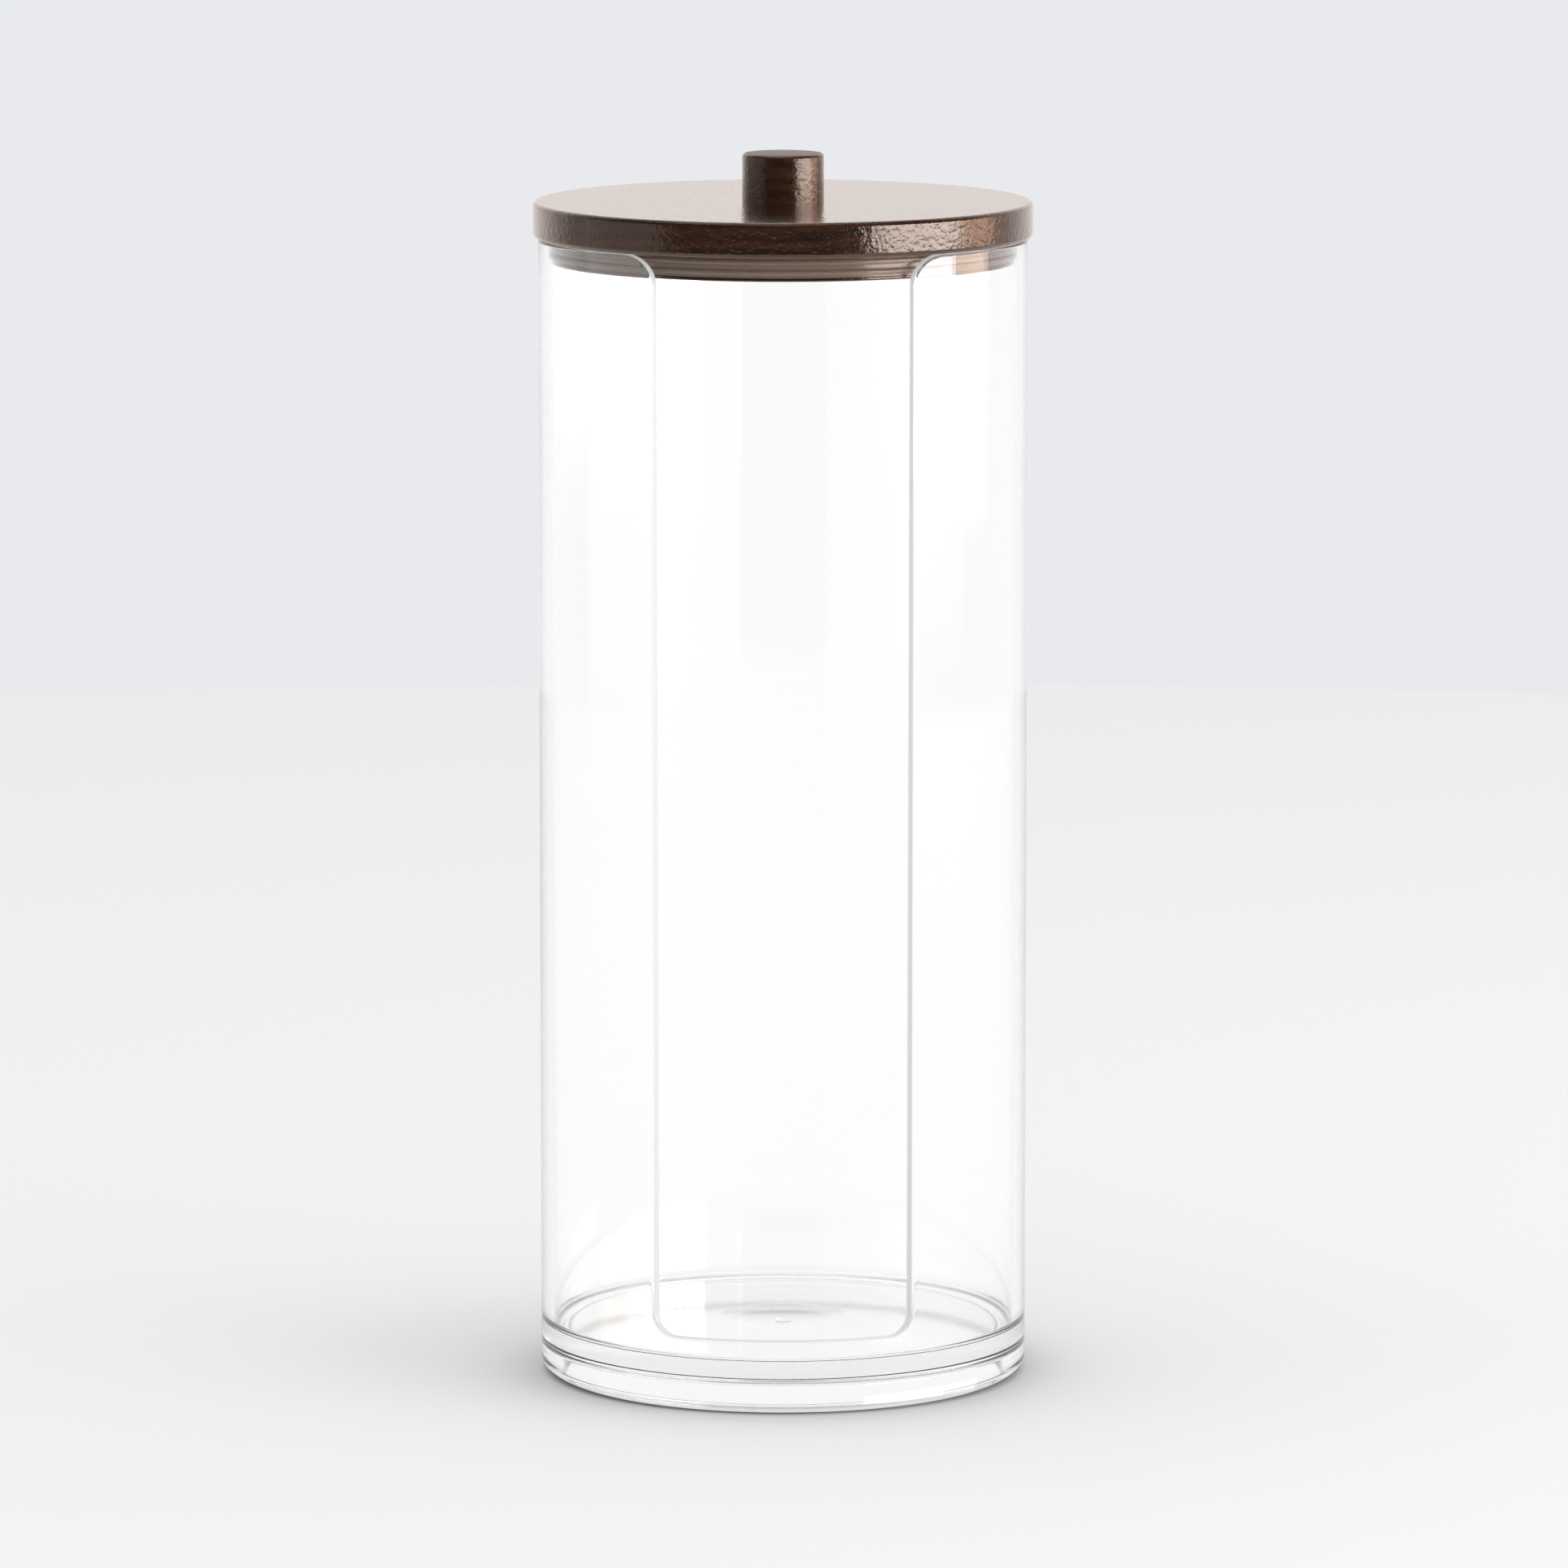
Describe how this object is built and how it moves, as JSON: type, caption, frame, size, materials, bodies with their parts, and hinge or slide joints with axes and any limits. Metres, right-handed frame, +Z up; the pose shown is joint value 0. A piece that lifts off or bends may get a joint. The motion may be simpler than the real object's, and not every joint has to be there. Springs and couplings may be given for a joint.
{
  "type": "cotton pad canister",
  "caption": "Tall clear plastic canister with an open slot down its front and a dark turned wood lid with a knob, for a stack of round cotton pads.",
  "frame": {"origin": "centre of the foot ring, on the surface that the canister stands on", "axes": "+Z up along the tube, -Y out through the middle of the front slot, +X to the right seen from the front"},
  "size_m": [0.0734, 0.0734, 0.1812],
  "materials": {
    "clear_plastic": "clear, polished",
    "dark_wood": "dark stain under satin lacquer",
    "clear_silicone": "translucent, satin",
    "knob_wood": "dark stain under gloss lacquer",
    "screw_steel": "zinc plated"
  },
  "bodies": {
    "canister": {"canister_body": "clear_plastic"},
    "lid": {"lid_disc": "dark_wood", "seal_ring": "clear_silicone", "knob": "knob_wood", "knob_screw": "screw_steel"}
  },
  "joints": [
    {"name": "lid_lift", "type": "slide", "parent": "canister", "child": "lid", "axis": [0, 0, 1], "range_m": [0, 0.04]}
  ]
}
